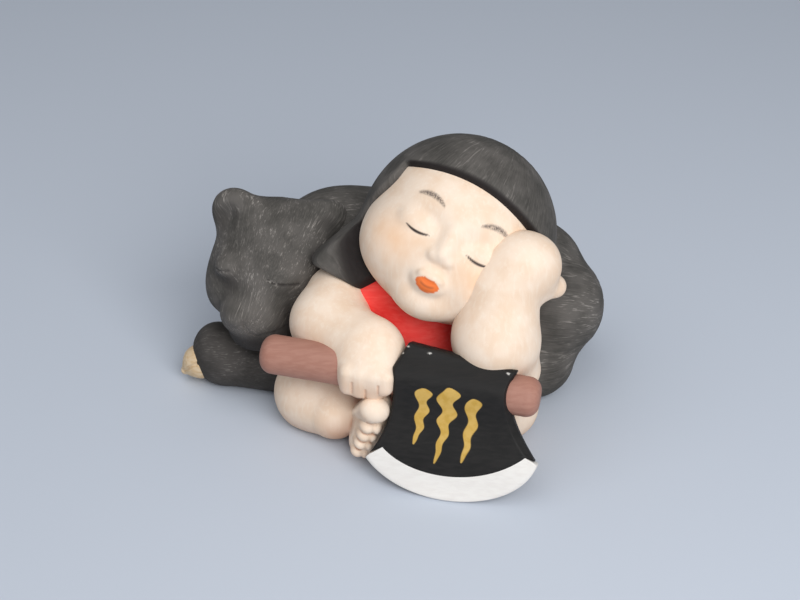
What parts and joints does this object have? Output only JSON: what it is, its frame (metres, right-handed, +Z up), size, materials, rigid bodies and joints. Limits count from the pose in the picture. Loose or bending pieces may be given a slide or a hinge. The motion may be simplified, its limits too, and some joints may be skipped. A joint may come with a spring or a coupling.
{
  "type": "sleeping child and bear ornament",
  "caption": "Painted bisque ornament: a child in a bib, asleep cross-legged with a broad axe, leans on a bear curled up behind; it stands on its flat base.",
  "frame": {"origin": "middle of the bounding box, on the flat underside", "axes": "+Z up, +X to the right as the viewer sees the child's face, +Y towards the bear's back"},
  "size_m": [0.1568, 0.1214, 0.1011],
  "materials": {
    "flesh_paint": "matt flesh paint on bisque, with brushed peach blushes",
    "charcoal_paint": "matt charcoal paint on bisque, dry-brushed with paler grey",
    "bib_red_paint": "matt red paint on bisque",
    "axe_black_paint": "matt black paint on bisque with gold brush marks",
    "edge_white_paint": "matt white paint on bisque",
    "handle_brown_paint": "matt brown paint on bisque",
    "claw_cream_paint": "matt cream paint on bisque"
  },
  "bodies": {
    "root": {"axe_handle": "handle_brown_paint", "child_left_hand": "flesh_paint", "child_left_arm": "flesh_paint", "axe_head": "axe_black_paint", "axe_edge": "edge_white_paint", "child_right_hand": "flesh_paint", "child_right_foot": "flesh_paint", "child_right_arm": "flesh_paint", "child_right_leg": "flesh_paint", "child_left_leg": "flesh_paint", "child_head": "flesh_paint", "child_hair": "charcoal_paint", "bib": "bib_red_paint", "child_torso": "flesh_paint", "bear_claws": "claw_cream_paint", "bear_right_ear": "charcoal_paint", "bear_left_ear": "charcoal_paint", "bear_head": "charcoal_paint", "bear_tail": "charcoal_paint", "bear_foreleg": "charcoal_paint", "bear_hind_leg": "charcoal_paint", "bear_body": "charcoal_paint"}
  },
  "joints": []
}
